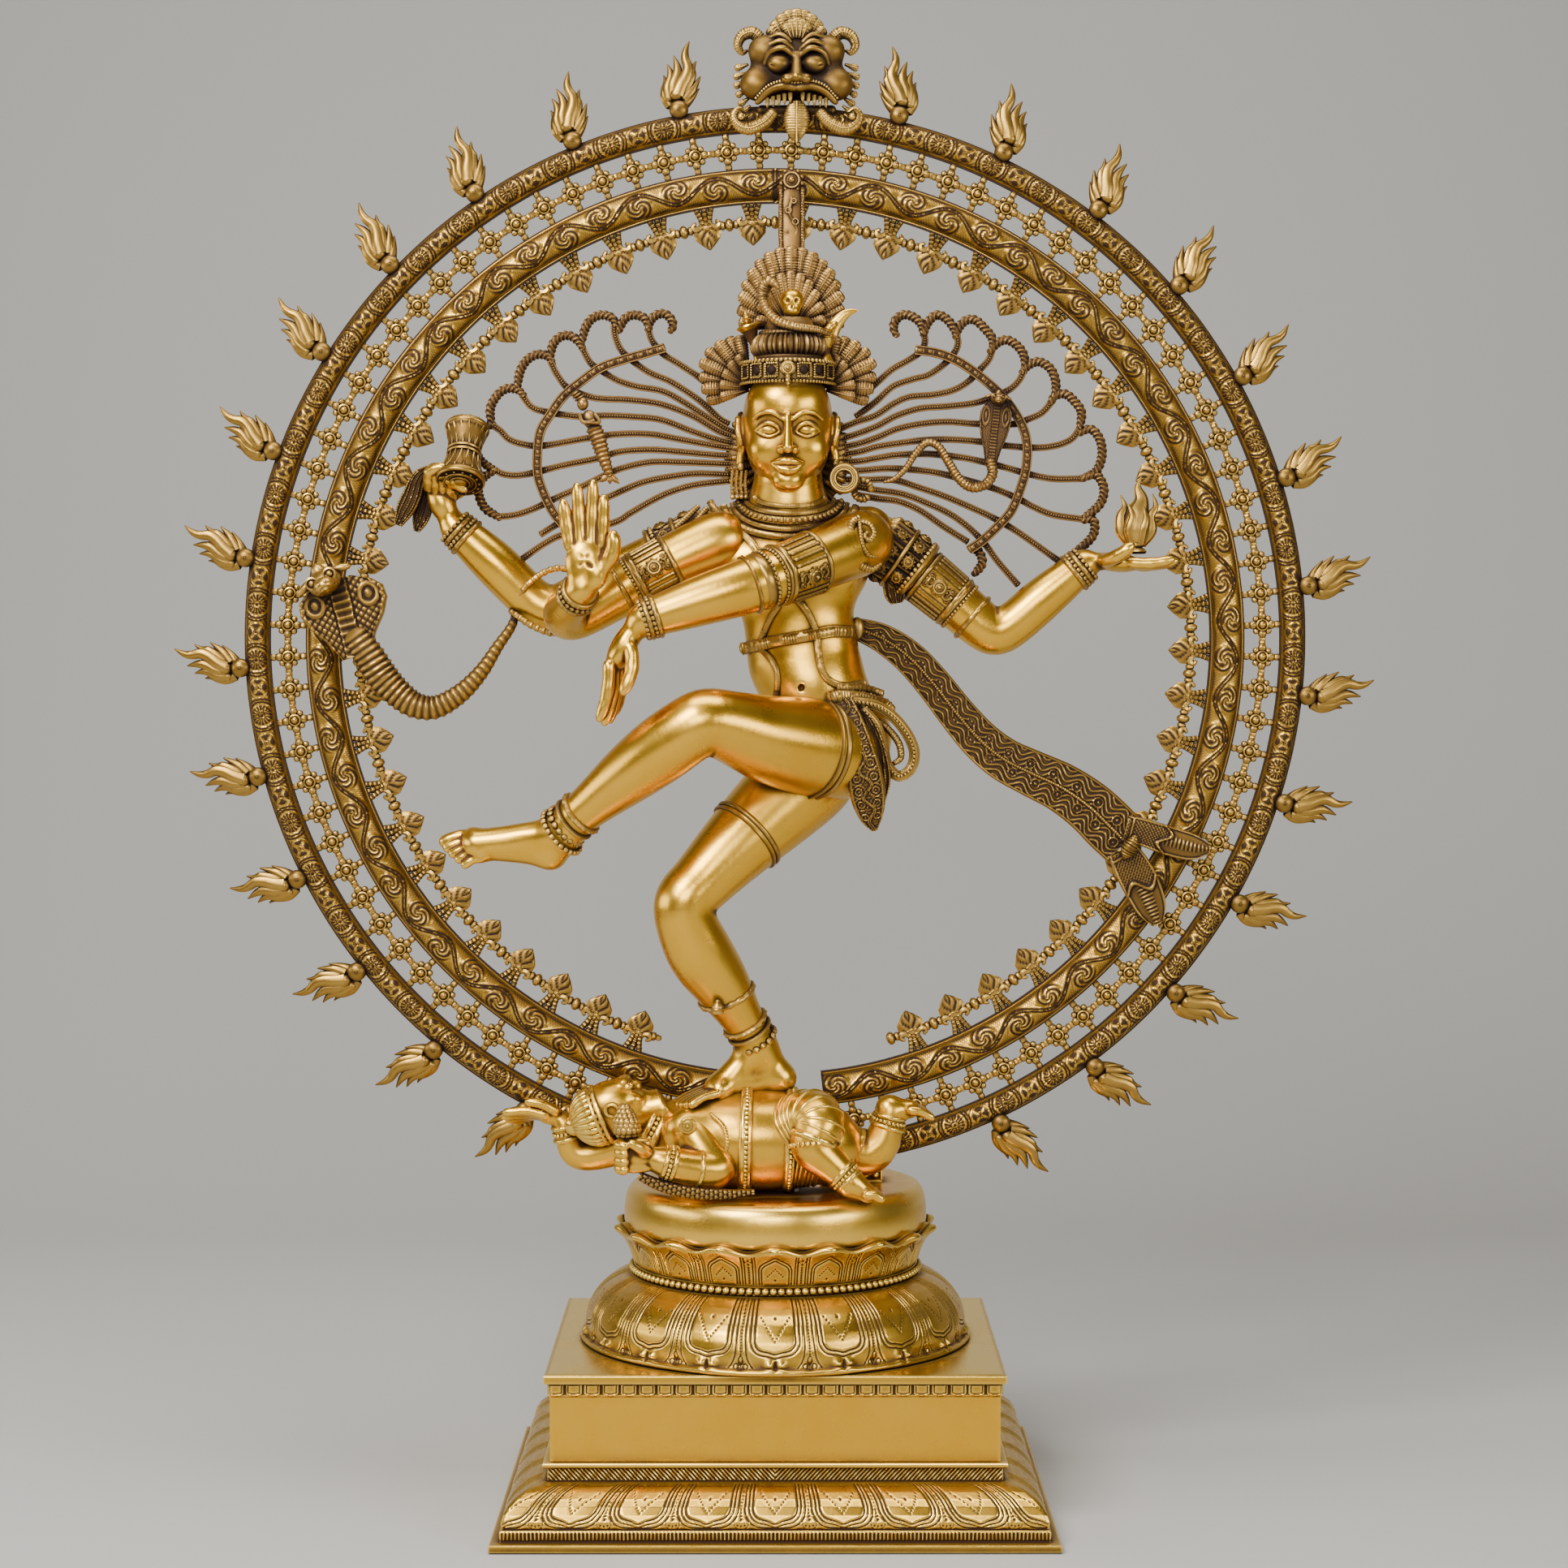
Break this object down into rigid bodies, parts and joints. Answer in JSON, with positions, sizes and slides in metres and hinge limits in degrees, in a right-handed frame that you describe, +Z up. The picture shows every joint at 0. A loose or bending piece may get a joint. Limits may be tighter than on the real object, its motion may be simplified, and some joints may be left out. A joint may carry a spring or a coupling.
{
  "type": "brass nataraja statue",
  "caption": "Cast brass four-armed dancer on a reclining dwarf inside a pierced ring of flames, on a round lotus and a moulded rectangular plinth.",
  "frame": {"origin": "middle of the plinth's underside, on the ground", "axes": "+Z up, +X to the viewer's right, +Y to the back: the dancer faces -Y"},
  "size_m": [1.1761, 0.457, 1.46],
  "materials": {
    "brass_polished": "polished cast brass with dark patina left in the recesses",
    "brass_aged": "cast brass, unpolished and browned, bright only on the edges",
    "steel_fasteners": "zinc plated steel"
  },
  "bodies": {
    "root": {"anklets": "brass_polished", "arch_bolts": "steel_fasteners", "arch_shoes": "brass_aged", "arm_cobra": "brass_polished", "armlets": "brass_polished", "base_moulding": "brass_polished", "blessing_arm": "brass_polished", "crescent_moon": "brass_polished", "crossing_arm": "brass_polished", "crown_cobra": "brass_polished", "crown_fan": "brass_polished", "crown_tie": "brass_aged", "datura_flower": "brass_polished", "drum": "brass_polished", "drum_arm": "brass_polished", "drum_tassel": "brass_aged", "dwarf_bolts": "steel_fasteners", "dwarf_figure": "brass_polished", "dwarf_shield": "brass_polished", "ear_ornaments": "brass_polished", "flame_arm": "brass_polished", "flame_rivets": "brass_polished", "flames_left": "brass_polished", "flames_right": "brass_polished", "flower_lattice": "brass_aged", "hair_locks_left": "brass_aged", "hair_locks_right": "brass_aged", "hair_roll": "brass_polished", "hair_tufts": "brass_aged", "hand_flame": "brass_polished", "head": "brass_polished", "headband": "brass_polished", "inner_rail_left": "brass_polished", "inner_rail_right": "brass_polished", "kala_mask": "brass_polished", "lock_cobra": "brass_polished", "lotus_screws": "steel_fasteners", "lotus_tie_rod": "steel_fasteners", "lower_lotus": "brass_polished", "neck_bead_ring": "brass_polished", "necklaces": "brass_polished", "outer_rail_left": "brass_polished", "outer_rail_right": "brass_polished", "pendant_lattice": "brass_aged", "platform_drum": "brass_polished", "plinth_block": "brass_polished", "plinth_cleats": "brass_aged", "plinth_cornice": "brass_polished", "rail_dowels": "steel_fasteners", "raised_leg": "brass_polished", "river_maiden": "brass_polished", "sash": "brass_polished", "shoulder_leaves": "brass_polished", "skull_ornament": "brass_polished", "standing_leg": "brass_polished", "tie_rod_nuts": "steel_fasteners", "torso": "brass_polished", "upper_lotus": "brass_polished", "waist_belt": "brass_polished", "waist_cloth": "brass_polished"}
  },
  "joints": []
}
